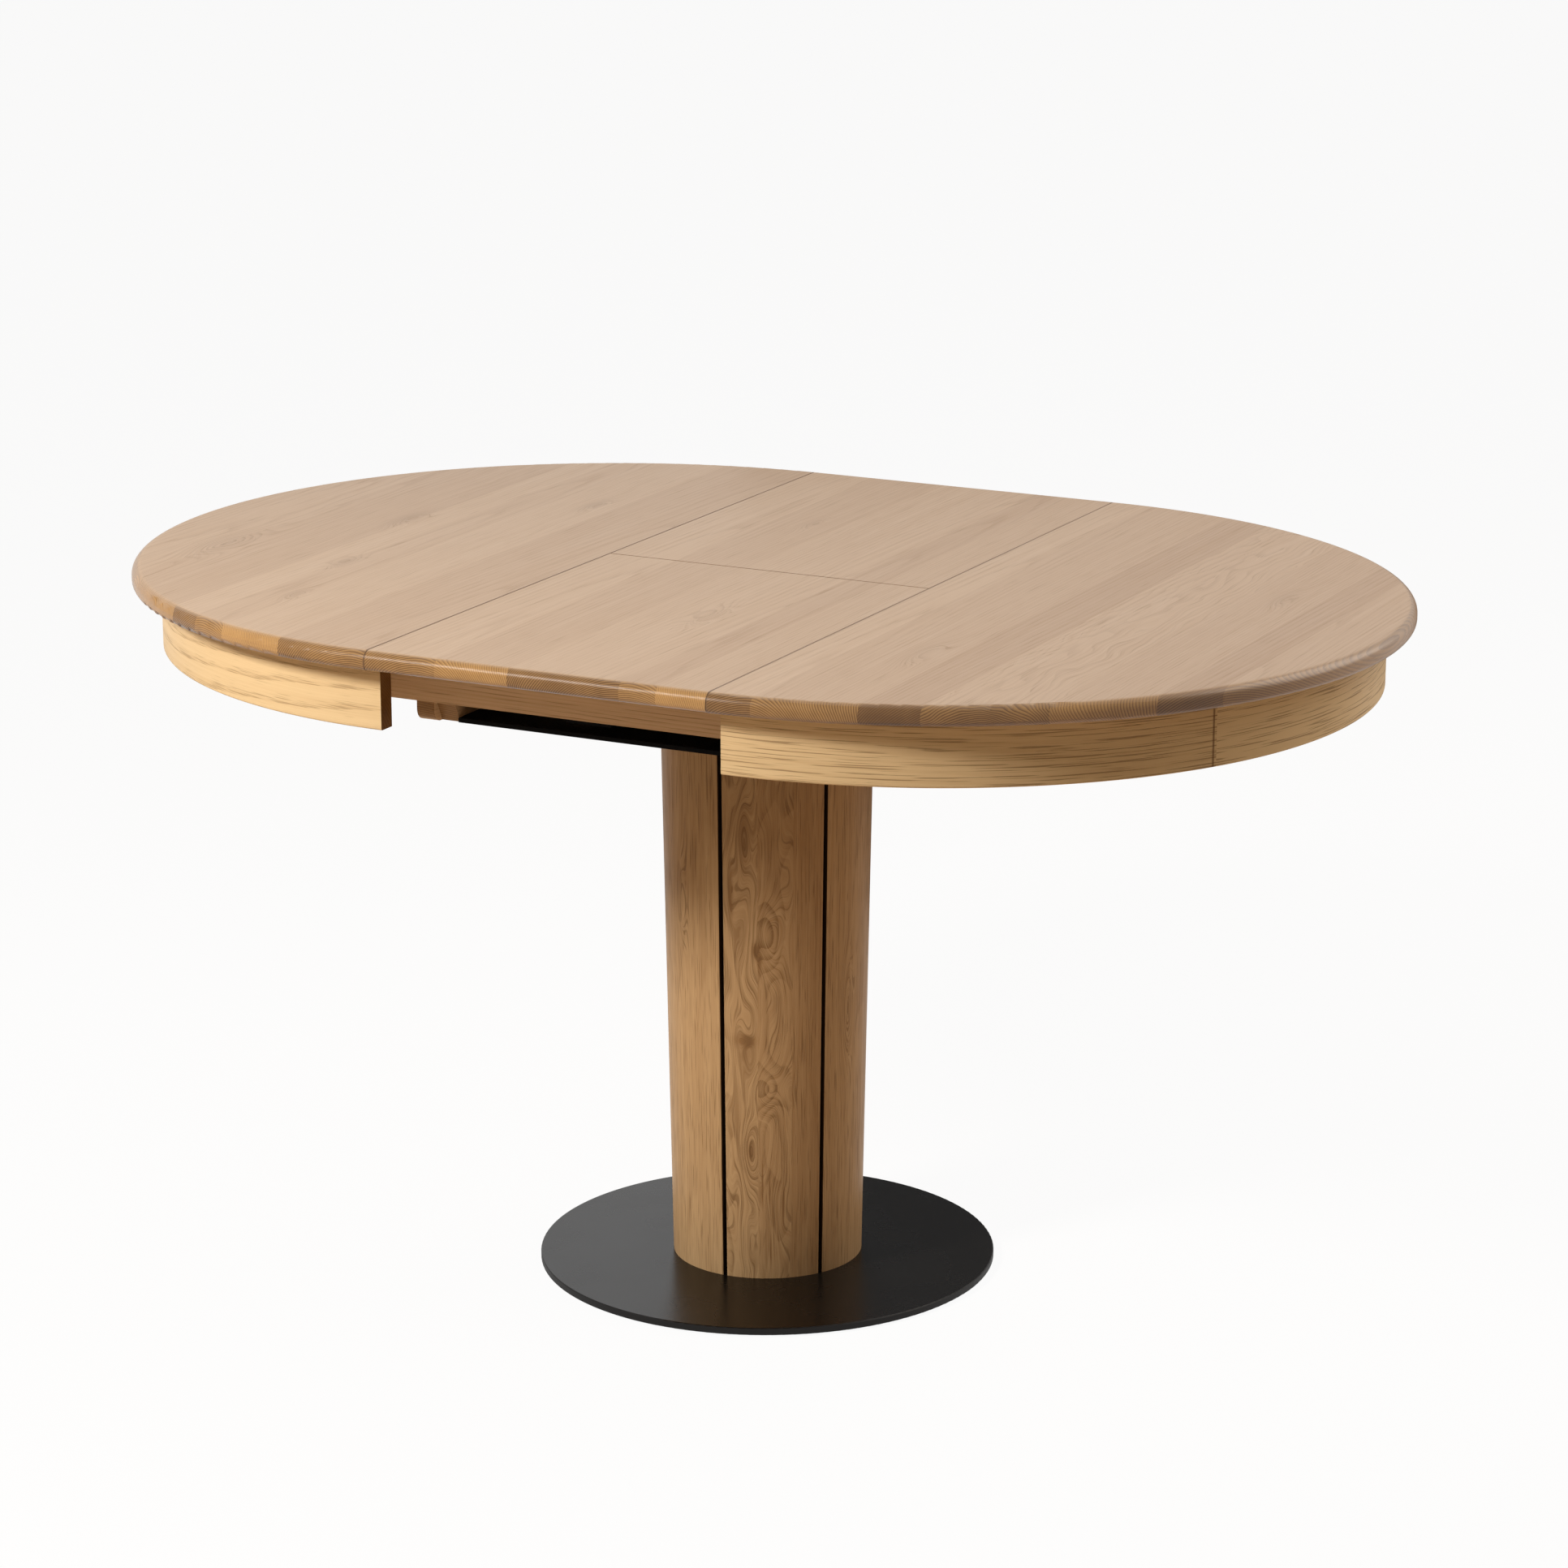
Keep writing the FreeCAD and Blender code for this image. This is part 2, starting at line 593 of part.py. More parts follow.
def arm_pair(pivot_y):
    """Two arms side by side and the rod that ties them, from their pivots to their lugs at rest."""
    half = ARM_THICKNESS / 2
    lug_y = pivot_y - arm_lean
    along = FreeCAD.Vector(0, lug_y - pivot_y, leaf_drop)
    side = FreeCAD.Vector(0, -along.z, along.y).normalize() * ARM_EYE_RADIUS
    x_span = (arm_offset - half, arm_offset + half)
    foot = FreeCAD.Vector(x_span[0], pivot_y, pivot_level)
    corners = [foot + side, foot + along + side, foot + along - side, foot - side]
    bar = Part.Face(Part.makePolygon(corners + corners[:1])).extrude(FreeCAD.Vector(ARM_THICKNESS, 0, 0))
    ends = ((pivot_y, pivot_level), (lug_y, lug_level))
    eyes = [crosswise(ARM_EYE_RADIUS, x_span, y, z) for y, z in ends]
    past = (x_span[0] - OVERRUN, x_span[1] + OVERRUN)
    holes = [crosswise(ARM_PIN_DIAMETER / 2 + PIN_CLEARANCE, past, y, z) for y, z in ends]
    arm = bar.fuse(eyes).removeSplitter().cut(holes)
    middle = foot + along / 2
    rod = crosswise(ARM_ROD_DIAMETER / 2, (-x_span[0], x_span[0]), middle.y, middle.z)
    return [arm, mirrored_x(arm), rod]


def lug(y, z, foot_level):
    """An ear on a foot plate, with the pin that carries the eye of a right-hand arm."""
    arm_face = arm_offset + ARM_THICKNESS / 2
    inside = arm_face + SEAT_CLEARANCE
    x_span = (inside, inside + LUG_THICKNESS)
    rise = 1 if z > foot_level else -1
    foot = box((inside, inside + LUG_FOOT), (y - LUG_FOOT / 2, y + LUG_FOOT / 2),
               (foot_level, foot_level + rise * LUG_FOOT_THICKNESS))
    ear = box(x_span, (y - ARM_EYE_RADIUS, y + ARM_EYE_RADIUS), (foot_level, z))
    eye = crosswise(ARM_EYE_RADIUS, x_span, y, z)
    free_face = arm_offset - ARM_THICKNESS / 2 - SEAT_CLEARANCE
    pin = crosswise(ARM_PIN_DIAMETER / 2, (free_face, x_span[1]), y, z)
    head = crosswise(PIN_HEAD_DIAMETER / 2, (free_face - PIN_HEAD_HEIGHT, free_face), y, z)
    return foot.fuse([ear, eye, pin, head]).removeSplitter()


def lug_group(y_places, z, foot_level):
    """Lugs of both sides for each place across the table."""
    right = [lug(y, z, foot_level) for y in y_places]
    return right + [mirrored_x(piece) for piece in right]


def build_foot_and_column():
    """Write the foot and the column, and return the holes that their head bolts need in the tray."""
    disc = upright(BASE_DIAMETER / 2, (GLIDE_THICKNESS, base_top))
    rims = [edge for edge in disc.Edges if len(edge.Vertexes) == 1]
    disc = disc.makeFillet(BASE_EDGE_RADIUS, rims)
    foot_level = base_top + FLANGE_THICKNESS
    head_level = column_top - FLANGE_THICKNESS
    inside = tube_radius - TUBE_WALL - FIT_CLEARANCE
    tube = upright(tube_radius, (base_top, column_top)).cut(
        upright(tube_radius - TUBE_WALL, (base_top - OVERRUN, column_top + OVERRUN)))
    foot_spans = ((GLIDE_THICKNESS, GLIDE_THICKNESS + BOLT_HEAD_HEIGHT), (GLIDE_THICKNESS, foot_level))
    head_spans = ((head_level - BOLT_HEAD_HEIGHT, head_level), (head_level - BOLT_HEAD_HEIGHT, tray_top))
    save("base_plate", disc.cut(bolts(*foot_spans, FIT_CLEARANCE)))
    save("floor_glides", *glides())
    save("foot_flange", upright(inside, (base_top, foot_level)).cut(bolts(*foot_spans, FIT_CLEARANCE)))
    save("foot_bolts", *bolts(*foot_spans))
    save("column_tube", tube)
    for index in range(PANEL_COUNT):
        save("column_panel_" + str(index + 1), column_panel(index))
    save("head_flange", upright(inside, (head_level, column_top)).cut(bolts(*head_spans, FIT_CLEARANCE)))
    save("head_bolts", *bolts(*head_spans))
    return bolts(*head_spans, FIT_CLEARANCE)


def build_frame(tray_holes, outer_rail, inner_rail):
    screws_up = [screw(x, y, cross_bottom, CROSS_HEIGHT + SCREW_BITE) for x, y in rail_screw_places()]
    holes_up = [screw(x, y, cross_bottom, CROSS_HEIGHT + SCREW_BITE, FIT_CLEARANCE)
                for x, y in rail_screw_places()]
    holes = holes_up + [turned(hole) for hole in holes_up]
    dowel_holes = rail_dowels(PIN_CLEARANCE)
    board = cross_board().cut(holes_up + dowel_holes)
    lining = cross_lining().cut(holes_up)
    save("left_cross_board", board)
    save("left_cross_lining", lining)
    save("right_cross_board", turned(board))
    save("right_cross_lining", turned(lining))
    save("storage_tray", tray().cut(tray_holes))
    outer_rail = outer_rail.cut(dowel_holes + [turned(hole) for hole in dowel_holes])
    inner_rail = inner_rail.cut(holes)
    for name, rail in (("rail", outer_rail), ("inner_rail", inner_rail)):
        save("front_" + name, rail)
        save("back_" + name, turned(rail))
    save("rail_screws", *screws_up, *[turned(piece) for piece in screws_up])
    save("rail_dowels", *rail_dowels(), *[turned(piece) for piece in rail_dowels()])
    save("pinion_brackets", pinion_bracket(), turned(pinion_bracket()))
    save("pinion_axles", axle(), turned(axle()))
    save("front_pinion", pinion())
    save("back_pinion", turned(pinion()))


def build_halves(left_runner, right_runner):
    places = runner_screw_places()
    depth = RUNNER_HEIGHT + SCREW_BITE
    screws = [screw(x, y, runner_bottom, depth) for x, y in places]
    screw_holes = [screw(x, y, runner_bottom, depth, FIT_CLEARANCE) for x, y in places]
    front_runner = left_runner.cut(screw_holes)
    back_runner = turned(right_runner).cut(screw_holes)
    front_rack = rack()
    back_rack = front_rack.copy()
    back_rack.translate(FreeCAD.Vector(0, 2 * pinion_y, 0))
    pieces = {
        "top": [half_top().cut(screw_holes)],
        "apron_blocks": apron_blocks(),
        "batten": [batten()],
        "front_runner": [front_runner],
        "back_runner": [back_runner],
        "front_rack": [front_rack],
        "back_rack": [back_rack],
        "runner_screws": screws,
    }
    for index, place in enumerate(APRON_SEGMENTS):
        pieces["apron_" + place] = [apron_segment(index)]
    swap = {"front": "back", "back": "front"}
    for name, solids in pieces.items():
        save("left_" + name, *solids)
        words = [swap.get(word, word) for word in name.split("_")]
        save("right_" + "_".join(words), *[turned(solid) for solid in solids])


def build_leaf():
    leaf = half_leaf().cut(hinge_barrels(FIT_CLEARANCE))
    save("leaf_front", leaf)
    save("leaf_back", turned(leaf))
    save("front_hinge_barrels", *hinge_barrels())
    save("back_hinge_barrels", *[turned(barrel) for barrel in hinge_barrels()])
    save("leaf_lugs", *lug_group(lug_places, lug_level, leaf_underside))
    save("tray_lugs", *lug_group(pivot_places, pivot_level, tray_top))
    save("inner_arms", *arm_pair(pivot_places[0]))
    save("outer_arms", *arm_pair(pivot_places[1]))


os.makedirs("parts", exist_ok=True)
bolt_holes = build_foot_and_column()
front_outer_rail, front_inner_rail, left_outer_runner, right_inner_runner = front_track()
build_frame(bolt_holes, front_outer_rail, front_inner_rail)
build_halves(left_outer_runner, right_inner_runner)
build_leaf()
print("leaf swing in degrees:", round(swing_degrees, 4))
print("arm pivots across the table:", [round(place, 4) for place in pivot_places])
print("arm pivot level:", round(pivot_level, 4), "and lug level:", round(lug_level, 4))
print("pinion axle across the table:", round(pinion_y, 4), "and pitch radius:", round(pitch_radius, 4))
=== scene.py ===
"""Looks of a round oak extending table: camera, stage, light and procedural materials.

Everything is in metres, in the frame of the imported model: X along the draw, Y across it and Z up.
The solids of the model are dressed as they are, and the scene adds no shape to the table.
"""
import json
import math
import bpy
from mathutils import Matrix, Vector


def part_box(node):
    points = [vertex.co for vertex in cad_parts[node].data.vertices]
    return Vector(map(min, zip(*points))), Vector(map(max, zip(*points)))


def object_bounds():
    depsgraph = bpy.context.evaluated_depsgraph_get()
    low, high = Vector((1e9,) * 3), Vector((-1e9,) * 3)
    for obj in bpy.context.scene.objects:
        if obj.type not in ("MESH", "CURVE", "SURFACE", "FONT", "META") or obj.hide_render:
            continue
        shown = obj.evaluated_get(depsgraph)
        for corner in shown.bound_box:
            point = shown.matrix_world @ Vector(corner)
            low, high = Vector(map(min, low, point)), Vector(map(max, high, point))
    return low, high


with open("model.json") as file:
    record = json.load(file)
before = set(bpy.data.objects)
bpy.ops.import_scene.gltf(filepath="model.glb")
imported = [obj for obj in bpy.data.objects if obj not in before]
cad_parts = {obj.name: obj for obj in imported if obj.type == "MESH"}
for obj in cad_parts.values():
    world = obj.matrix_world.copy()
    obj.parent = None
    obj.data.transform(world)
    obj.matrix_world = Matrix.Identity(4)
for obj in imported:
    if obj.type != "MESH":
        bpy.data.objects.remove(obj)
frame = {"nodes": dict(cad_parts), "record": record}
cad_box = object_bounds()

# Camera of the photograph, whose frame is a square of this many pixels, with its turns in radians
PHOTO_PIXELS = 1932
FOCAL_PIXELS = 5789.7
SENSOR_MM = 36.0
CAMERA_PLACE = Vector((2.15047, -4.29535, 1.82285))
CAMERA_TURN = -0.42574
CAMERA_TILT = -0.29575
CAMERA_ROLL = 0.01033
CAMERA_SHIFT_SHARES = (-0.0997, 0.0988)

# Stage and light
SQUARE = ((-1, -1), (1, -1), (1, 1), (-1, 1))
FLOOR_HALF = 40.0
FLOOR_COLOR = (0.90, 0.89, 0.88, 1.0)
FLOOR_GLOW_SHARE = 0.94
BOUNCE_COLOR = (0.72, 0.58, 0.46, 1.0)
WHITE = (1.0, 1.0, 1.0, 1.0)
AMBIENT_COLOR = (1.0, 0.72, 0.46, 1.0)
AMBIENT_STRENGTH = 0.15
LIGHT_AIM = Vector((0.0, 0.0, 0.6))
KEY_PLACE = Vector((-1.34, -2.50, 2.32))
KEY_SIZE = 0.6
KEY_WATTS = 101.0
KEY_COLOR = (1.0, 0.93, 0.84)
FILL_PLACE = Vector((2.20, 1.84, 2.50))
FILL_SIZE = 2.4
FILL_WATTS = 62.0
FILL_COLOR = (1.0, 0.90, 0.80)

# Card that stands in for the key lamp in mirrored light
KEY_CARD_SIZE = 0.8
KEY_CARD_GLOW = 11.0

# Black card that the foot mirrors, a painted reflection of shade on the foot's right side: its direction from
# the table, its span to the side and its rise
SHADE_CARD_TURN = math.radians(116.0)
SHADE_CARD_DISTANCE = 1.0
SHADE_CARD_SPAN = (-0.04, 1.3)
SHADE_CARD_RISE = (0.05, 0.85)
SHADE_CARD_GLOW = 0.12

# Places read from the frame
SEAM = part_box("right_top")[0].x
HALF_LENGTH = cad_box[1].x
TOP_LEVEL = cad_box[1].z
APRON_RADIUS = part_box("right_apron_side")[1].x - SEAM
APRON_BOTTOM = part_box("right_apron_side")[0].z
COLUMN_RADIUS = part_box("column_panel_2")[1].x

# Boards: a seed for each, how far the seed moves its grain along, and where its pith lies
SEED_STEP = 0.618
SEED_REACH = 9.0
PITH_SPREAD = 0.20
PITH_DEPTH = 0.03
PITH_DEPTH_SPREAD = 0.07

# Oak in general: colours of the wood, its pores and its cut ends, and the noises in it
OAK_PALE = (0.65, 0.490, 0.342, 1.0)
OAK_DEEP = (0.36, 0.214, 0.110, 1.0)
OAK_PORE = (0.17, 0.095, 0.042, 1.0)
END_PALE = (0.46, 0.268, 0.098, 1.0)
END_DEEP = (0.12, 0.056, 0.015, 1.0)
END_TONE = 1.0
END_BASE_SHARE = 0.22
END_NORMALS = (0.35, 0.85)
MIDDLE_SHARE = 0.5
OAK_BUMP = 0.0001
PORE_HEIGHT_SHARE = -1.0
RING_HEIGHT_SHARE = -0.15
PORE_ROUGHNESS_SHARE = 0.3
ROUGHNESS_SPAN = (0.2, 0.9)
SLOW_NOISE = {"scales": (2.4, 13.0, 13.0), "detail": 2.0}
CLOUD_NOISE = {"scales": (3.0, 24.0, 24.0), "detail": 3.0, "roughness": 0.6}
TURMOIL_NOISE = {"scales": (9.0, 30.0, 30.0), "detail": 1.0}
FIBRE_NOISE = {"detail": 4.0, "roughness": 0.8}
PORE_NOISE = {"detail": 1.0}
FIBRE_BEND_SHARE = 2.0

# Stretches of a growth ring over which its early wood, its marks and its lines on cut ends rise and fall
EARLY_SHARES = ((0.0, 0.08), (0.0, 0.60))
MARK_SHARES = ((0.0, 0.04), (0.04, 0.70))
END_RING_SHARES = ((0.0, 0.10), (0.10, 0.80))
MARK_FIBRE_SPAN = (0.25, 0.65)
MARK_STAIN_SHARE = 0.7
MARK_LIMIT_SHARE = 0.85

# Figure of the top's oak
OAK_FIGURE = {
    "ring_width": 0.0036,
    "slope": 0.012,
    "wave": 0.010,
    "ring_share": 0.10,
    "knot_ring_share": 16.0,
    "wild_wave": 0.040,
    "wild_share": 0.16,
    "end_ring_width": 0.0021,
    "end_ring_share": 0.62,
    "end_tone_share": 0.75,
    "fibre_scales": (1.8, 300.0, 300.0),
    "fibre_share": 0.55,
    "cloud_share": 0.16,
    "pore_scales": (14.0, 900.0, 900.0),
    "pore_bias": 0.12,
    "pore_span": (0.62, 0.78),
    "pore_share": 0.24,
    "tone_share": 0.56,
    "base_share": 0.38,
    "roughness": (0.36, 0.46),
    "end_roughness": 0.27,
}

# Boards of the top from left to right: where each begins, how dark it is and how wild its figure is
LEFT_BOARDS = ((-0.700, 0.45, 0.15), (-0.575, 0.62, 0.1), (-0.459, 0.30, 0.0), (-0.415, 0.52, 0.0),
               (-0.372, 0.36, 0.1), (-0.292, 0.64, 0.0))
LEAF_BOARDS = ((-0.186, 0.38, 0.0), (-0.108, 0.58, 0.0), (-0.028, 0.40, 0.1), (0.092, 0.72, 0.0),
               (0.131, 0.48, 0.0))
RIGHT_BOARDS = ((0.186, 0.32, 0.0), (0.229, 0.55, 0.0), (0.332, 0.86, 0.0), (0.386, 0.45, 0.4),
                (0.490, 0.62, 0.1), (0.568, 0.92, 0.0), (0.610, 0.55, 0.0))

# Knots of the top: place across and along the grain, reach each way, push of the rings, and darkness
LEFT_KNOTS = ((-0.413, -0.161, 0.010, 0.028, 0.012, 0.16), (-0.465, 0.060, 0.012, 0.040, 0.014, 0.14),
              (-0.320, 0.214, 0.010, 0.035, 0.012, 0.16), (-0.377, -0.316, 0.008, 0.022, 0.010, 0.14),
              (-0.574, -0.140, 0.020, 0.060, 0.022, 0.06))
LEAF_KNOTS = ((-0.062, 0.235, 0.008, 0.030, 0.010, 0.08), (0.040, -0.210, 0.012, 0.050, 0.014, 0.04))
RIGHT_KNOTS = ((0.530, 0.120, 0.010, 0.040, 0.012, 0.10), (0.300, -0.260, 0.012, 0.050, 0.014, 0.05))

# Rim and joints of the top, with the spans of the normal over which face and cut ends blend
TOP_IOR = 1.47
RIM_NORMALS = (0.90, 0.998)
LONG_EDGE_NORMALS = (0.1, 0.7)
LONG_EDGE_SHARE = 0.5
# Painted shade: the cut ends of the right half are darkened, where its rim is turned from the key
RIGHT_END_SHADE = 0.3
# Painted shade in the gaps at the seams and the fold: how far it reaches from the joint and how dark it is,
# also used for the aprons' joint lines
SEAM_REACH = (0.0004, 0.0019)
SEAM_SHARE = 0.80

# Aprons
SIDE_IOR = 1.15
APRON_PALE = (0.72, 0.56, 0.335, 1.0)
APRON_DEEP = (0.42, 0.25, 0.105, 1.0)
APRON_PITH_DEPTH = 0.09
APRON_SEED_RISE = 0.06
APRON_END_ANGLES = (1.55, 1.57)
LEFT_SEGMENT_TONES = (0.50, 0.55, 0.45)
# The middle segment of the right apron, at its end, is paler as painted light
RIGHT_SEGMENT_TONES_AND_LIGHT = (0.55, 0.20, 0.50)
LEFT_APRON_FIGURE = {**OAK_FIGURE, "ring_width": 0.0110, "slope": 0.020, "wave": 0.016, "ring_share": 0.10,
                     "pore_scales": (26.0, 1150.0, 1150.0), "pore_bias": 0.24, "pore_span": (0.64, 0.82),
                     "pore_share": 0.42, "fibre_scales": (2.2, 300.0, 300.0), "fibre_share": 0.60,
                     "base_share": 0.12}
RIGHT_APRON_FIGURE = {**LEFT_APRON_FIGURE, "ring_width": 0.0044, "slope": 0.015, "wave": 0.010,
                      "pore_scales": (11.0, 680.0, 680.0), "pore_bias": 0.08, "pore_span": (0.57, 0.68),
                      "pore_share": 0.58}

# Column: staves round it from the back on, how dark and how wild each is; the staves from -90 to -30 degrees,
# turned from the key, are darker as painted shade
COLUMN_PALE = (0.58, 0.405, 0.225, 1.0)
COLUMN_DEEP = (0.33, 0.19, 0.086, 1.0)
# Near-black painted shade on the flanks of the grooves between panels
GROOVE_SHADE = (0.045, 0.027, 0.015, 1.0)
FLANK_NORMALS = (0.5, 0.8)
FULL_DEGREES = 360.0
STAVE_START_DEGREES = 270.0
STAVE_TONES_AND_SHADE = (0.45, 0.55, 0.50, 0.60, 0.40, 0.55, 0.50, 0.42, 0.52, 0.62, 0.85, 1.00,
               0.56, 0.48, 0.60, 0.45, 0.55, 0.50)
STAVE_WILDNESS = (0.0, 0.2, 0.0, 0.0, 0.5, 0.1, 0.0, 0.1, 0.0, 0.9, 0.6, 0.0, 0.0, 0.1, 0.0, 0.1, 0.4, 0.0)
COLUMN_FIGURE = {**OAK_FIGURE, "wild_share": 0.40, "ring_width": 0.0058, "ring_share": 0.08,
                 "knot_ring_share": 36.0, "fibre_scales": (2.4, 320.0, 320.0), "fibre_share": 1.20,
                 "pore_scales": (20.0, 800.0, 800.0), "pore_bias": 0.06, "pore_span": (0.58, 0.70),
                 "pore_share": 0.50}

# Knots of the column: degrees round it and height, reach each way, push of the rings, and darkness
COLUMN_KNOTS = (
    (-64.0, 0.398, 8.0, 0.034, 0.016, 0.0),
    (-70.0, 0.378, 1.8, 0.008, 0.004, 0.90),
    (-68.0, 0.366, 1.3, 0.011, 0.0, 0.60),
    (-76.0, 0.278, 5.0, 0.006, 0.003, 0.75),
    (-75.0, 0.264, 3.0, 0.014, 0.0, 0.25),
    (-73.7, 0.154, 4.4, 0.030, 0.015, 0.10),
    (-73.4, 0.154, 1.4, 0.009, 0.0, 0.45),
    (-84.1, 0.438, 1.5, 0.028, 0.003, 0.50),
    (-76.5, 0.500, 3.0, 0.036, 0.010, 0.30),
    (-62.0, 0.222, 9.0, 0.022, 0.012, 0.0),
    (-66.5, 0.120, 0.5, 0.020, 0.0, 0.75),
    (-62.3, 0.109, 0.4, 0.014, 0.0, 0.70),
    (-54.0, 0.095, 0.5, 0.018, 0.0, 0.85),
    (-61.5, 0.040, 0.4, 0.018, 0.0, 0.60),
    (-12.0, 0.300, 5.0, 0.055, 0.014, 0.05),
    (-120.0, 0.420, 5.0, 0.060, 0.008, 0.0),
    (20.0, 0.420, 1.6, 0.010, 0.004, 0.60),
    (20.0, 0.425, 7.0, 0.045, 0.014, 0.0),
    (105.0, 0.240, 7.0, 0.050, 0.014, 0.05),
    (165.0, 0.480, 6.0, 0.045, 0.014, 0.05),
)

# Frame under the top: plain oak, with one pith for all its pieces
FRAME_PALE = (0.74, 0.57, 0.39, 1.0)
FRAME_DEEP = (0.42, 0.27, 0.14, 1.0)
FRAME_TONE = 0.6
FRAME_PITH_PLACE = 0.64
FRAME_PITH_DEPTH = 0.05
FRAME_DEPTH_SHARE = 0.2
FRAME_END_SHARE = 0.75
FRAME_FIGURE = {**OAK_FIGURE, "ring_share": 0.14, "pore_share": 0.45, "fibre_share": 0.80, "base_share": 0.30,
                "roughness": (0.45, 0.6)}

# Steel foot: a dark coat, duller on its edge
STEEL_DARK = (0.0035, 0.0028, 0.0024, 1.0)
STEEL_LIGHT = (0.006, 0.0052, 0.0046, 1.0)
STEEL_NOISE = {"scales": (9.0, 9.0, 9.0), "detail": 4.0, "roughness": 0.6}
STEEL_ROUGHNESS = (0.25, 0.29)
STEEL_EDGE_NORMALS = (0.80, 0.98)
STEEL_EDGE_ROUGHNESS = 0.55
STEEL_BUMP = 0.00001
STEEL_IOR = 1.34

# Small fittings: two close colours, span of roughness, grains to a metre, and constants of the shader
GRAIN_NOISE = {"detail": 3.0, "roughness": 0.6}
GRAIN_SPAN = (0.3, 0.7)
FITTING_BUMP = 0.00004
FITTINGS = {
    "black_matt": ((0.004, 0.004, 0.004, 1.0), (0.007, 0.007, 0.007, 1.0), (0.5, 0.65), 400.0, {"IOR": 1.1}),
    "zinc_steel": ((0.55, 0.56, 0.58, 1.0), (0.68, 0.69, 0.71, 1.0), (0.28, 0.4), 300.0, {"Metallic": 1.0}),
    "brass": ((0.66, 0.49, 0.22, 1.0), (0.76, 0.60, 0.31, 1.0), (0.25, 0.38), 250.0, {"Metallic": 1.0}),
    "nylon": ((0.020, 0.020, 0.022, 1.0), (0.030, 0.030, 0.032, 1.0), (0.45, 0.6), 500.0, {}),
    "glide_plastic": ((0.030, 0.030, 0.030, 1.0), (0.045, 0.045, 0.045, 1.0), (0.5, 0.65), 400.0, {}),
}


class Graph:
    """Adds shader nodes to one node tree and links them."""

    # Places of the share, the two colours and the result among the sockets of a mix node
    MIX_SOCKETS = (0, 6, 7)
    MIX_RESULT = 2

    def __init__(self, tree):
        self.tree = tree
        tree.nodes.clear()

    def feed(self, socket, value):
        if isinstance(value, bpy.types.NodeSocket):
            self.tree.links.new(value, socket)
        else:
            socket.default_value = value

    def add(self, kind, inputs=None, **settings):
        node = self.tree.nodes.new(kind)
        for name, value in settings.items():
            setattr(node, name, value)
        for key, value in (inputs or {}).items():
            self.feed(node.inputs[key], value)
        return node

    def math(self, operation, *values):
        node = self.add("ShaderNodeMath", operation=operation)
        for socket, value in zip(node.inputs, values):
            self.feed(socket, value)
        return node.outputs[0]

    def clamp(self, value, limit=1.0):
        return self.add("ShaderNodeClamp", {"Value": value, "Max": limit}).outputs[0]

    def vector(self, x, y, z):
        return self.add("ShaderNodeCombineXYZ", {"X": x, "Y": y, "Z": z}).outputs[0]

    def parts(self, vector):
        return self.add("ShaderNodeSeparateXYZ", {0: vector}).outputs

    def vector_math(self, operation, first, second):
        return self.add("ShaderNodeVectorMath", {0: first, 1: second}, operation=operation).outputs

    def length(self, x, y):
        node = self.add("ShaderNodeVectorMath", {0: self.vector(x, y, 0.0)}, operation="LENGTH")
        return node.outputs["Value"]

    def noise(self, vector, scales, detail=2.0, roughness=0.5):
        stretched = self.vector_math("MULTIPLY", vector, scales)[0]
        node = self.add("ShaderNodeTexNoise",
                        {"Vector": stretched, "Scale": 1.0, "Detail": detail, "Roughness": roughness})
        return node.outputs["Fac"]

    def smooth(self, value, low, high, first=0.0, last=1.0):
        node = self.add("ShaderNodeMapRange", interpolation_type="SMOOTHSTEP")
        for socket, given in zip(node.inputs, (value, low, high, first, last)):
            self.feed(socket, given)
        return node.outputs[0]

    def band(self, value, rise, fall):
        """1 where the value is past its rise and before its fall."""
        return self.math("MULTIPLY", self.smooth(value, *fall, 1.0, 0.0), self.smooth(value, *rise))

    def spread(self, value, share, base):
        """A base, and a share of how far the value is from the middle."""
        return self.math("MULTIPLY_ADD", self.math("SUBTRACT", value, MIDDLE_SHARE), share, base)

    def mix(self, share, first, second):
        node = self.add("ShaderNodeMix", data_type="RGBA")
        for index, given in zip(self.MIX_SOCKETS, (share, first, second)):
            self.feed(node.inputs[index], given)
        return node.outputs[self.MIX_RESULT]

    def steps(self, value, stops):
        """Four numbers for each stretch of the value, from pairs of its start and those numbers."""
        node = self.add("ShaderNodeValToRGB", {"Fac": value})
        ramp = node.color_ramp
        ramp.interpolation = "CONSTANT"
        while len(ramp.elements) < len(stops):
            ramp.elements.new(1.0)
        for element, (start, numbers) in zip(ramp.elements, stops):
            element.position = start
            element.color = numbers
        return (*self.parts(node.outputs["Color"]), node.outputs["Alpha"])

    def bell(self, u, v, place, reach):
        """1 at a place, falling off to nothing around it."""
        offset = self.vector_math("SUBTRACT", self.vector(u, v, 0.0), (*place, 0.0))[0]
        offset = self.vector_math("DIVIDE", offset, (*reach, 1.0))[0]
        square = self.vector_math("DOT_PRODUCT", offset, offset)["Value"]
        return self.math("EXPONENT", self.math("MULTIPLY", square, -1.0))

    def knots(self, across, along, rows):
        """How far all knots push the rings, and how dark they stain the wood."""
        swell = 0.0
        stain = 0.0
        for place_across, place_along, reach_across, reach_along, push, dark in rows:
            bell = self.bell(across, along, (place_across, place_along), (reach_across, reach_along))
            swell = self.math("MULTIPLY_ADD", bell, push, swell)
            stain = self.math("MULTIPLY_ADD", bell, dark, stain)
        return swell, stain


def new_material(name):
    material = bpy.data.materials.new(name)
    material.use_nodes = True
    return material, Graph(material.node_tree)


def object_place(g):
    """The three parts of the place on the object and of its normal."""
    node = g.add("ShaderNodeTexCoord")
    return g.parts(node.outputs["Object"]), g.parts(node.outputs["Normal"])


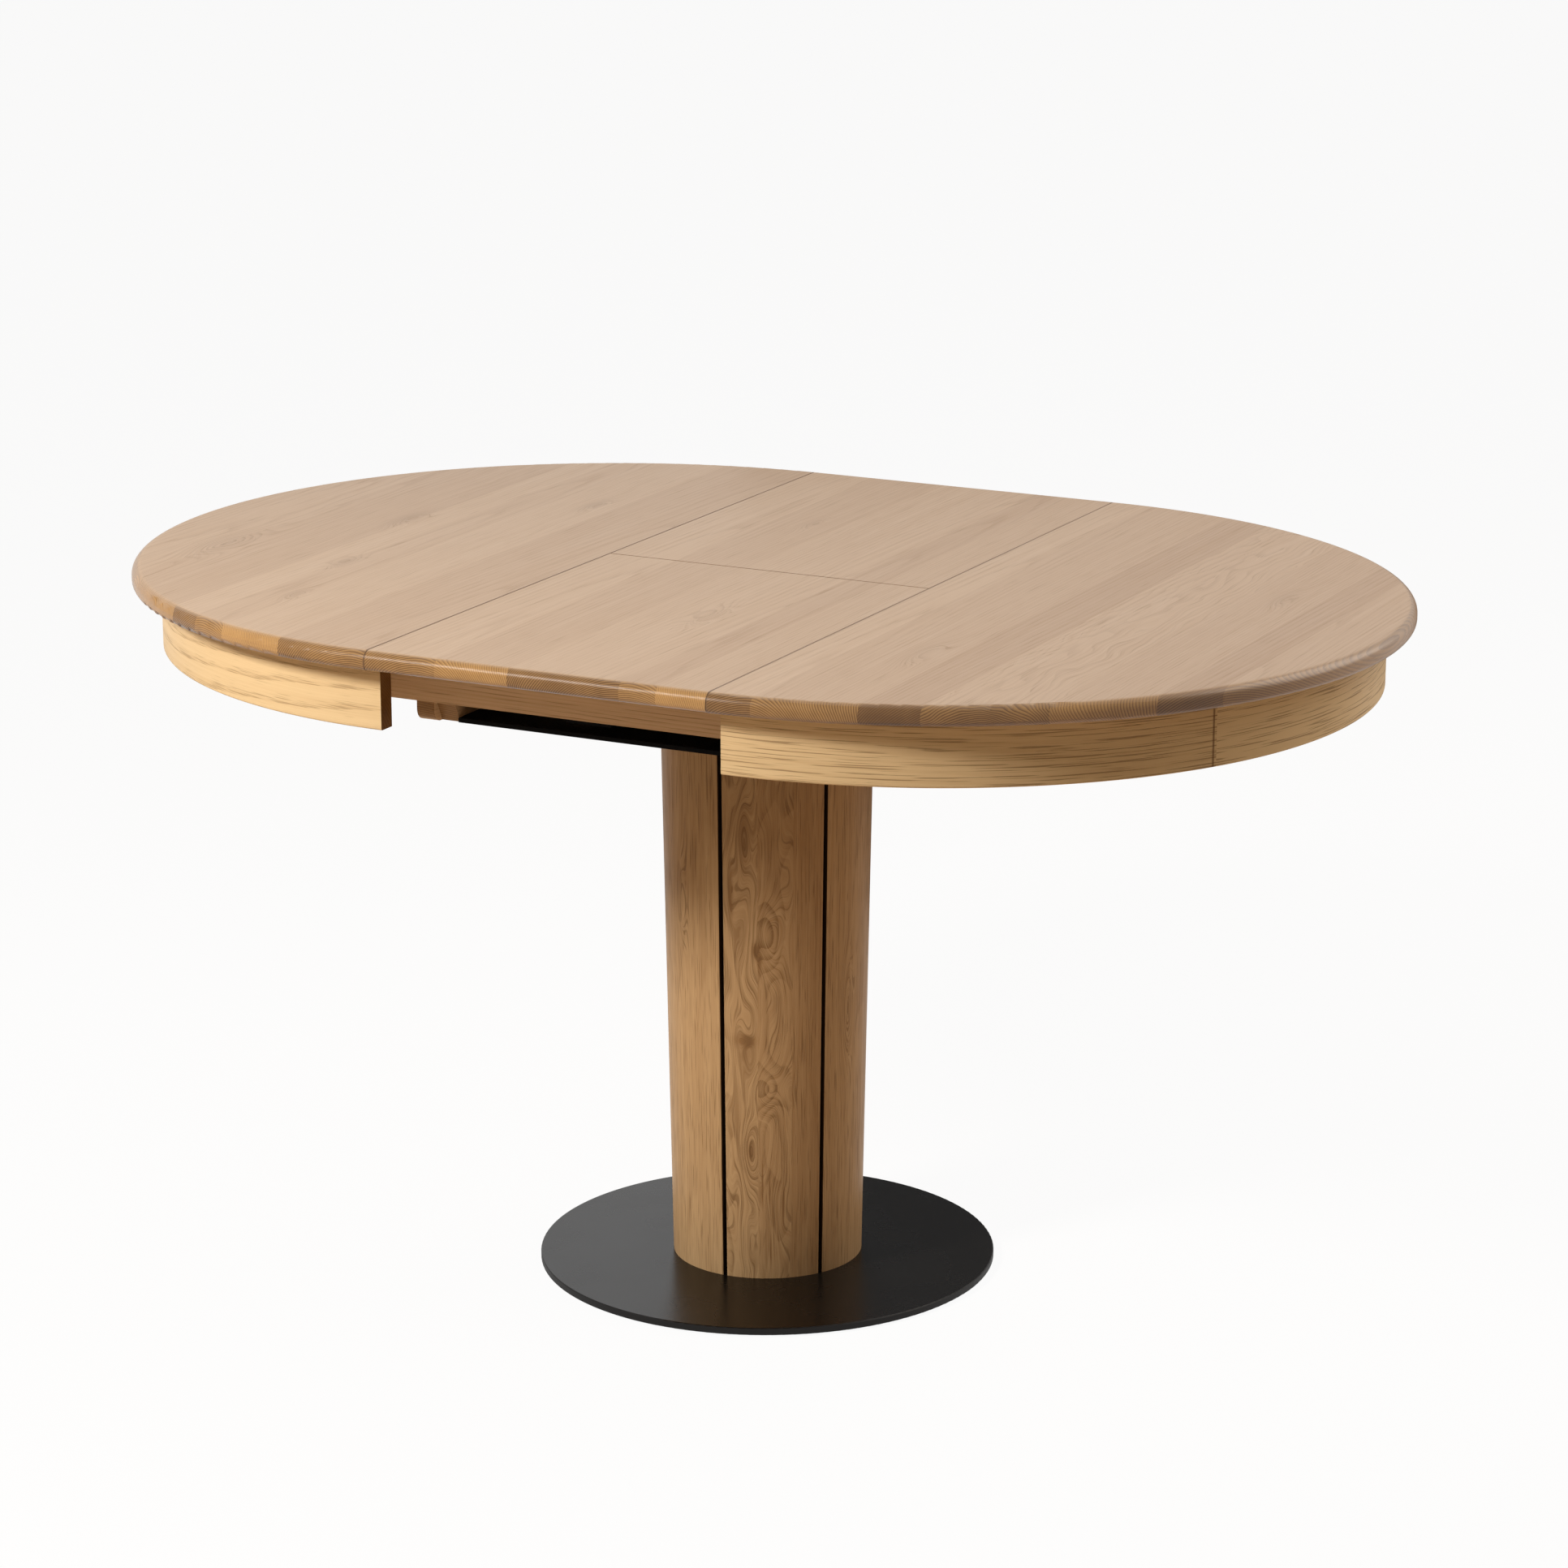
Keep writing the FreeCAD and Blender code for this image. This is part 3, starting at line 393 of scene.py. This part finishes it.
def finish_surface(g, color, roughness, height, bump_depth, **constants):
    """The shader of a surface, with its constants on the shader's own sockets."""
    bump = g.add("ShaderNodeBump", {"Height": height, "Distance": bump_depth, "Strength": 1.0})
    shader = g.add("ShaderNodeBsdfPrincipled",
                   {"Base Color": color, "Roughness": roughness, "Normal": bump.outputs[0]})
    for name, value in constants.items():
        shader.inputs[name].default_value = value
    g.add("ShaderNodeOutputMaterial", {"Surface": shader.outputs[0]})


def pith_distance(g, place, along, across, depth, bend, figure):
    """Distance from the pith, as the rings run: sloping along the grain, wavy, and bent round knots."""
    distance = g.math("MULTIPLY_ADD", g.noise(place, **SLOW_NOISE), figure["wave"], g.length(across, depth))
    distance = g.math("MULTIPLY_ADD", along, figure["slope"], distance)
    return g.math("ADD", distance, bend)


def ring_marks(g, ring, fibre, swell, stain, wild, figure):
    """How much dark ring lines and stains cover the wood round knots and in wild figure."""
    line = g.math("MULTIPLY", g.band(ring, *MARK_SHARES), g.smooth(fibre, *MARK_FIBRE_SPAN))
    line_share = g.math("MULTIPLY", wild, figure["wild_share"])
    line_share = g.math("MULTIPLY_ADD", swell, figure["knot_ring_share"], line_share)
    mark = g.math("MULTIPLY_ADD", line, line_share, g.math("MULTIPLY", stain, MARK_STAIN_SHARE))
    return g.clamp(mark, MARK_LIMIT_SHARE)


def end_color(g, distance, cloud, end_tone, figure):
    """Colour of oak cut across the grain, with its rings as fine lines."""
    ring = g.math("FRACT", g.math("DIVIDE", distance, figure["end_ring_width"]))
    darkness = g.spread(end_tone, figure["end_tone_share"], END_BASE_SHARE)
    darkness = g.math("MULTIPLY_ADD", g.band(ring, *END_RING_SHARES), figure["end_ring_share"], darkness)
    darkness = g.spread(cloud, figure["end_tone_share"], darkness)
    return g.mix(g.clamp(darkness), END_PALE, END_DEEP)


def oak(g, along, across, depth, pith_depth, tone, end, figure, swell=0.0, stain=0.0,
        pale=OAK_PALE, deep=OAK_DEEP, wild=0.0, end_tone=END_TONE):
    """Colour, roughness and height of oak at a place in a board, measured from its pith."""
    place = g.vector(along, across, depth)
    cloud = g.noise(place, **CLOUD_NOISE)
    turmoil = g.math("MULTIPLY", g.noise(place, **TURMOIL_NOISE), wild)
    bend = g.math("MULTIPLY_ADD", turmoil, figure["wild_wave"], swell)
    bent = g.vector(along, g.math("MULTIPLY_ADD", bend, FIBRE_BEND_SHARE, across), depth)
    fibre = g.noise(bent, figure["fibre_scales"], **FIBRE_NOISE)
    pore = g.noise(bent, figure["pore_scales"], **PORE_NOISE)
    distance = pith_distance(g, place, along, across, g.math("ADD", depth, pith_depth), bend, figure)
    ring = g.math("FRACT", g.math("DIVIDE", distance, figure["ring_width"]))
    early = g.band(ring, *EARLY_SHARES)
    holes = g.smooth(g.math("MULTIPLY_ADD", early, figure["pore_bias"], pore), *figure["pore_span"])

    darkness = g.spread(tone, figure["tone_share"], figure["base_share"])
    darkness = g.math("MULTIPLY_ADD", early, figure["ring_share"], darkness)
    darkness = g.spread(fibre, figure["fibre_share"], darkness)
    darkness = g.spread(cloud, figure["cloud_share"], darkness)
    darkness = g.clamp(g.math("ADD", darkness, stain))
    mark = ring_marks(g, ring, fibre, swell, stain, wild, figure)
    color = g.mix(mark, g.mix(darkness, pale, deep), OAK_PORE)
    color = g.mix(end, color, end_color(g, distance, cloud, end_tone, figure))
    color = g.mix(g.math("MULTIPLY", holes, figure["pore_share"]), color, OAK_PORE)

    roughness = g.math("MULTIPLY_ADD", holes, PORE_ROUGHNESS_SHARE, fibre)
    roughness = g.smooth(roughness, *ROUGHNESS_SPAN, *figure["roughness"])
    roughness = g.smooth(end, 0.0, 1.0, roughness, figure["end_roughness"])
    height = g.math("MULTIPLY_ADD", holes, PORE_HEIGHT_SHARE, g.math("MULTIPLY", early, RING_HEIGHT_SHARE))
    height = g.math("MULTIPLY", height, g.math("SUBTRACT", 1.0, end))
    return color, roughness, height


def end_grain(g, normal_part):
    """From 0 on faces along the grain to 1 where it is cut across."""
    return g.smooth(g.math("ABSOLUTE", normal_part), *END_NORMALS)


def dark_edge(g, distance):
    """How dark the line at a joint is, within a hair of it: on the top it is painted shade in the gaps
    between the halves and the leaf, on the aprons the dark line of each joint between segments.
    """
    return g.smooth(g.math("ABSOLUTE", distance), *SEAM_REACH, SEAM_SHARE, 0.0)


def board_seed(count):
    """A number from 0 to 1 that differs well from one board to the next."""
    return (count + 1) * SEED_STEP % 1


def board_stops(boards, low, high):
    """Stops that give each board its tone, a seed, the place of its pith and its wildness."""
    stops = []
    for count, (start, tone, wild) in enumerate(boards):
        seed = board_seed(count)
        following = boards[count + 1][0] if count + 1 < len(boards) else high
        pith = (start + following) / 2 + (seed - MIDDLE_SHARE) * PITH_SPREAD
        stops.append(((start - low) / (high - low), (tone, seed, (pith - low) / (high - low), wild)))
    return stops


def oak_top(name, boards, high, knots, end_shade, folded):
    """Boards glued side by side, with the grain along Y."""
    material, g = new_material(name)
    (x, y, z), (_, normal_y, normal_z) = object_place(g)
    low = boards[0][0]
    share = g.math("DIVIDE", g.math("SUBTRACT", x, low), high - low)
    tone, seed, pith, wild = g.steps(share, board_stops(boards, low, high))
    across = g.math("MULTIPLY", g.math("SUBTRACT", share, pith), high - low)
    along = g.math("MULTIPLY_ADD", seed, SEED_REACH, y)
    depth = g.math("SUBTRACT", z, TOP_LEVEL)
    pith_depth = g.math("MULTIPLY_ADD", seed, PITH_DEPTH_SPREAD, PITH_DEPTH)
    rim = g.smooth(g.math("ABSOLUTE", normal_z), *RIM_NORMALS, 1.0, 0.0)
    cut = g.smooth(g.math("ABSOLUTE", normal_y), *LONG_EDGE_NORMALS, LONG_EDGE_SHARE, 1.0)
    swell, stain = g.knots(x, y, knots)
    # The shift of the cut ends' tone darkens the right half's rim as painted shade
    color, roughness, height = oak(g, along, across, depth, pith_depth, tone, g.math("MULTIPLY", rim, cut),
                                   OAK_FIGURE, swell, stain, wild=wild,
                                   end_tone=g.math("ADD", seed, end_shade))
    # Painted shade in the gaps at the seams and, on the leaf, along its fold
    line = dark_edge(g, g.math("SUBTRACT", g.math("ABSOLUTE", x), SEAM))
    if folded:
        line = g.math("MAXIMUM", line, dark_edge(g, y))
    finish_surface(g, g.mix(line, color, OAK_PORE), roughness, height, OAK_BUMP, IOR=TOP_IOR)
    return material


def oak_apron(name, side, figure, tones):
    """Curved oak with the grain along the arc, a new board in each segment."""
    material, g = new_material(name)
    (x, y, z), (normal_x, _, _) = object_place(g)
    outwards = g.math("MULTIPLY_ADD", x, side, -SEAM)
    angle = g.math("ARCTAN2", y, outwards)
    share = g.math("DIVIDE", g.math("ADD", angle, math.pi / 2), math.pi)
    segments = len(tones)
    stops = [(count / segments, (tone, board_seed(count), 0.0, 1.0)) for count, tone in enumerate(tones)]
    tone, seed, _, _ = g.steps(share, stops)
    along = g.math("MULTIPLY_ADD", seed, SEED_REACH, g.math("MULTIPLY", angle, APRON_RADIUS))
    across = g.math("MULTIPLY_ADD", seed, APRON_SEED_RISE, g.math("SUBTRACT", z, APRON_BOTTOM))
    depth = g.math("SUBTRACT", g.length(outwards, y), APRON_RADIUS)
    sweep = g.math("ABSOLUTE", angle)
    end = g.math("MULTIPLY", g.smooth(sweep, *APRON_END_ANGLES), end_grain(g, normal_x))
    color, roughness, height = oak(g, along, across, depth, APRON_PITH_DEPTH, tone, end, figure,
                                   pale=APRON_PALE, deep=APRON_DEEP)
    past_joint = g.math("SUBTRACT", sweep, math.pi / segments / 2)
    line = dark_edge(g, g.math("MULTIPLY", past_joint, APRON_RADIUS))
    finish_surface(g, g.mix(line, color, OAK_PORE), roughness, height, OAK_BUMP, IOR=SIDE_IOR)
    return material


def oak_column(name):
    """Upright staves, three to a panel, with the grain along Z and the flanks in the grooves darkened nearly
    black as painted shade.
    """
    material, g = new_material(name)
    (x, y, z), (normal_x, normal_y, normal_z) = object_place(g)
    degrees = g.math("DEGREES", g.math("ARCTAN2", y, x))
    turned = g.math("ADD", degrees, STAVE_START_DEGREES)
    share = g.math("FRACT", g.math("DIVIDE", turned, FULL_DEGREES))
    staves = len(STAVE_TONES_AND_SHADE)
    stops = [(count / staves, (tone, board_seed(count), count / staves, wild))
             for count, (tone, wild) in enumerate(zip(STAVE_TONES_AND_SHADE, STAVE_WILDNESS))]
    tone, seed, start, wild = g.steps(share, stops)
    along = g.math("MULTIPLY_ADD", seed, SEED_REACH, z)
    within = g.math("SUBTRACT", g.math("SUBTRACT", share, start), g.math("MULTIPLY", seed, 1.0 / staves))
    across = g.math("MULTIPLY", within, math.tau * COLUMN_RADIUS)
    radius = g.length(x, y)
    depth = g.math("SUBTRACT", radius, COLUMN_RADIUS)
    pith_depth = g.math("MULTIPLY_ADD", seed, PITH_DEPTH_SPREAD, PITH_DEPTH)
    swell, stain = g.knots(degrees, z, COLUMN_KNOTS)
    color, roughness, height = oak(g, along, across, depth, pith_depth, tone, end_grain(g, normal_z),
                                   COLUMN_FIGURE, swell, stain, COLUMN_PALE, COLUMN_DEEP, wild)
    # Painted shade: the flanks of the grooves between panels are darkened nearly black
    outwards = g.math("ADD", g.math("MULTIPLY", x, normal_x), g.math("MULTIPLY", y, normal_y))
    outwards = g.math("ABSOLUTE", g.math("DIVIDE", outwards, radius))
    shown = g.math("ADD", outwards, g.math("ABSOLUTE", normal_z))
    groove_shade_mask = g.smooth(shown, *FLANK_NORMALS, 1.0, 0.0)
    finish_surface(g, g.mix(groove_shade_mask, color, GROOVE_SHADE), roughness, height, OAK_BUMP, IOR=SIDE_IOR)
    return material


def oak_frame(name, grain):
    """Plain solid oak of the frame, with the grain along one axis."""
    material, g = new_material(name)
    place, normal = object_place(g)
    first, second = [axis for axis in range(3) if axis != grain]
    across = g.math("SUBTRACT", place[second], FRAME_PITH_PLACE)
    depth = g.math("MULTIPLY", place[first], FRAME_DEPTH_SHARE)
    end = g.math("MULTIPLY", end_grain(g, normal[grain]), FRAME_END_SHARE)
    color, roughness, height = oak(g, place[grain], across, depth, FRAME_PITH_DEPTH, FRAME_TONE, end,
                                   FRAME_FIGURE, pale=FRAME_PALE, deep=FRAME_DEEP)
    finish_surface(g, color, roughness, height, OAK_BUMP, IOR=SIDE_IOR)
    return material


def black_steel(name):
    """Steel foot with a dark smooth coat, faintly clouded."""
    material, g = new_material(name)
    place, (_, _, normal_z) = object_place(g)
    cloud = g.noise(g.vector(*place), **STEEL_NOISE)
    color = g.mix(cloud, STEEL_DARK, STEEL_LIGHT)
    coat = g.smooth(cloud, *GRAIN_SPAN, *STEEL_ROUGHNESS)
    roughness = g.smooth(normal_z, *STEEL_EDGE_NORMALS, STEEL_EDGE_ROUGHNESS, coat)
    finish_surface(g, color, roughness, cloud, STEEL_BUMP, IOR=STEEL_IOR)
    return material


def fitting(name, first, second, roughness_span, grains, constants):
    """A small fitting: a grain of two close colours with its own gloss."""
    material, g = new_material(name)
    place = g.add("ShaderNodeTexCoord").outputs["Object"]
    grain = g.noise(place, (grains, grains, grains), **GRAIN_NOISE)
    roughness = g.smooth(grain, *GRAIN_SPAN, *roughness_span)
    finish_surface(g, g.mix(grain, first, second), roughness, grain, FITTING_BUMP, **constants)
    return material


def make_looks():
    """All materials of the table by the names that look_name gives."""
    looks = {
        "left_top": oak_top("oak_top_left", LEFT_BOARDS, -SEAM, LEFT_KNOTS, 0.0, False),
        "right_top": oak_top("oak_top_right", RIGHT_BOARDS, HALF_LENGTH, RIGHT_KNOTS, RIGHT_END_SHADE, False),
        "leaf": oak_top("oak_leaf", LEAF_BOARDS, SEAM, LEAF_KNOTS, 0.0, True),
        "left_apron": oak_apron("oak_apron_left", -1.0, LEFT_APRON_FIGURE, LEFT_SEGMENT_TONES),
        "right_apron": oak_apron("oak_apron_right", 1.0, RIGHT_APRON_FIGURE, RIGHT_SEGMENT_TONES_AND_LIGHT),
        "oak_column": oak_column("oak_column"),
        "black_steel": black_steel("black_steel"),
    }
    for axis, letter in enumerate("xyz"):
        looks["grain_" + letter] = oak_frame("oak_frame_" + letter, axis)
    for name, values in FITTINGS.items():
        looks[name] = fitting(name, *values)
    return looks


def look_name(node, slot):
    """The look of a node, by its slot and, where pieces of one slot differ, by its name."""
    if slot == "oak_top":
        return "leaf" if node.startswith("leaf") else node
    if slot == "oak_apron":
        return node.split("_")[0] + "_apron"
    if slot == "oak_frame" and "dowel" in node:
        return "grain_z"
    if slot == "oak_frame":
        return "grain_y" if "cross" in node or "batten" in node else "grain_x"
    if slot == "black_steel" and node != "base_plate":
        return "black_matt"
    return slot


def dress_nodes():
    """Give every node of the model its material."""
    looks = make_looks()
    slots = {row["node"]: row["material_slot"] for row in frame["record"]["subparts"]}
    for node, piece in frame["nodes"].items():
        piece.data.materials.clear()
        piece.data.materials.append(looks[look_name(node, slots[node])])


def rays_that_see_white(g):
    """1 for camera, mirror and glass rays, and 0 for the rays that light the object."""
    path = g.add("ShaderNodeLightPath").outputs
    glossy = g.math("MAXIMUM", path["Is Glossy Ray"], path["Is Transmission Ray"])
    return g.math("MAXIMUM", path["Is Camera Ray"], glossy)


def make_world():
    """Soft warm light from all round, seen as white."""
    world = bpy.data.worlds.new("studio")
    world.use_nodes = True
    bpy.context.scene.world = world
    g = Graph(world.node_tree)
    soft = g.add("ShaderNodeBackground", {"Color": AMBIENT_COLOR, "Strength": AMBIENT_STRENGTH})
    white = g.add("ShaderNodeBackground", {"Color": WHITE, "Strength": 1.0})
    both = g.add("ShaderNodeMixShader", {0: rays_that_see_white(g), 1: soft.outputs[0], 2: white.outputs[0]})
    g.add("ShaderNodeOutputWorld", {"Surface": both.outputs[0]})


def add_plane(name, corners, material):
    """A flat piece of the stage with four corners."""
    mesh = bpy.data.meshes.new(name)
    mesh.from_pydata(corners, [], [(0, 1, 2, 3)])
    mesh.materials.append(material)
    plane = bpy.data.objects.new(name, mesh)
    bpy.context.scene.collection.objects.link(plane)
    return plane


def make_floor():
    """A pale floor that shows nearly white and still takes the table's shadow."""
    material, g = new_material("pale_floor")
    seen = g.add("ShaderNodeLightPath").outputs["Is Camera Ray"]
    matt = g.add("ShaderNodeBsdfDiffuse", {"Color": g.mix(seen, BOUNCE_COLOR, FLOOR_COLOR)})
    glow = g.add("ShaderNodeEmission", {"Color": WHITE, "Strength": 1.0})
    share = g.math("MULTIPLY", rays_that_see_white(g), FLOOR_GLOW_SHARE)
    both = g.add("ShaderNodeMixShader", {0: share, 1: matt.outputs[0], 2: glow.outputs[0]})
    g.add("ShaderNodeOutputMaterial", {"Surface": both.outputs[0]})
    floor = add_plane("floor", [(x * FLOOR_HALF, y * FLOOR_HALF, 0.0) for x, y in SQUARE], material)


def shade_card_corners():
    """Corners of the black card behind the table, which paints a reflection of shade on the foot's right
    side.
    """
    back = Vector((math.cos(SHADE_CARD_TURN), math.sin(SHADE_CARD_TURN), 0.0))
    side = Vector((back.y, -back.x, 0.0))
    near, far = SHADE_CARD_SPAN
    low, high = SHADE_CARD_RISE
    return [back * SHADE_CARD_DISTANCE + side * place + Vector((0.0, 0.0, height))
            for place, height in ((near, low), (far, low), (far, high), (near, high))]


def key_card_corners():
    """Corners of the card in the key lamp's place, square to its light."""
    turn = (KEY_PLACE - LIGHT_AIM).to_track_quat("Z", "Y")
    half = KEY_CARD_SIZE / 2
    return [KEY_PLACE + turn @ Vector((x * half, y * half, 0.0)) for x, y in SQUARE]


def add_card(name, corners, strength):
    """A plain card of one brightness, which only mirrored light meets."""
    material, g = new_material(name)
    glow = g.add("ShaderNodeEmission", {"Color": WHITE, "Strength": strength})
    g.add("ShaderNodeOutputMaterial", {"Surface": glow.outputs[0]})
    card = add_plane(name, corners, material)
    card.visible_camera = False
    card.visible_diffuse = False
    card.visible_transmission = False
    card.visible_shadow = False


def add_softbox(name, place, size, watts, color, mirrored):
    """A square lamp that shines at the table, and shows in mirrored light or not."""
    light = bpy.data.lights.new(name, "AREA")
    light.size = size
    light.energy = watts
    light.color = color
    lamp = bpy.data.objects.new(name, light)
    lamp.location = place
    lamp.rotation_mode = "QUATERNION"
    lamp.rotation_quaternion = (place - LIGHT_AIM).to_track_quat("Z", "Y")
    lamp.visible_glossy = mirrored
    bpy.context.scene.collection.objects.link(lamp)


def make_camera():
    """The photograph's camera, from its place, its three turns, its lens and its shift."""
    forward = Vector((math.sin(CAMERA_TURN) * math.cos(CAMERA_TILT),
                      math.cos(CAMERA_TURN) * math.cos(CAMERA_TILT), math.sin(CAMERA_TILT)))
    level_right = Vector((math.cos(CAMERA_TURN), -math.sin(CAMERA_TURN), 0.0))
    level_up = level_right.cross(forward)
    right = level_right * math.cos(CAMERA_ROLL) + level_up * math.sin(CAMERA_ROLL)
    up = level_up * math.cos(CAMERA_ROLL) - level_right * math.sin(CAMERA_ROLL)
    lens = bpy.data.cameras.new("camera")
    lens.sensor_width = SENSOR_MM
    lens.lens = SENSOR_MM * FOCAL_PIXELS / PHOTO_PIXELS
    lens.shift_x, lens.shift_y = CAMERA_SHIFT_SHARES
    camera = bpy.data.objects.new("camera", lens)
    turn = Matrix((right, up, -forward)).transposed()
    camera.matrix_world = Matrix.Translation(CAMERA_PLACE) @ turn.to_4x4()
    bpy.context.scene.collection.objects.link(camera)
    bpy.context.scene.camera = camera


dress_nodes()
make_world()
make_floor()
# The black card paints a shaded reflection on the right side of the foot
add_card("painted_shade_card", shade_card_corners(), SHADE_CARD_GLOW)
add_card("key_card", key_card_corners(), KEY_CARD_GLOW)
add_softbox("key", KEY_PLACE, KEY_SIZE, KEY_WATTS, KEY_COLOR, False)
add_softbox("fill", FILL_PLACE, FILL_SIZE, FILL_WATTS, FILL_COLOR, True)
make_camera()
bpy.context.scene.view_settings.view_transform = "Standard"
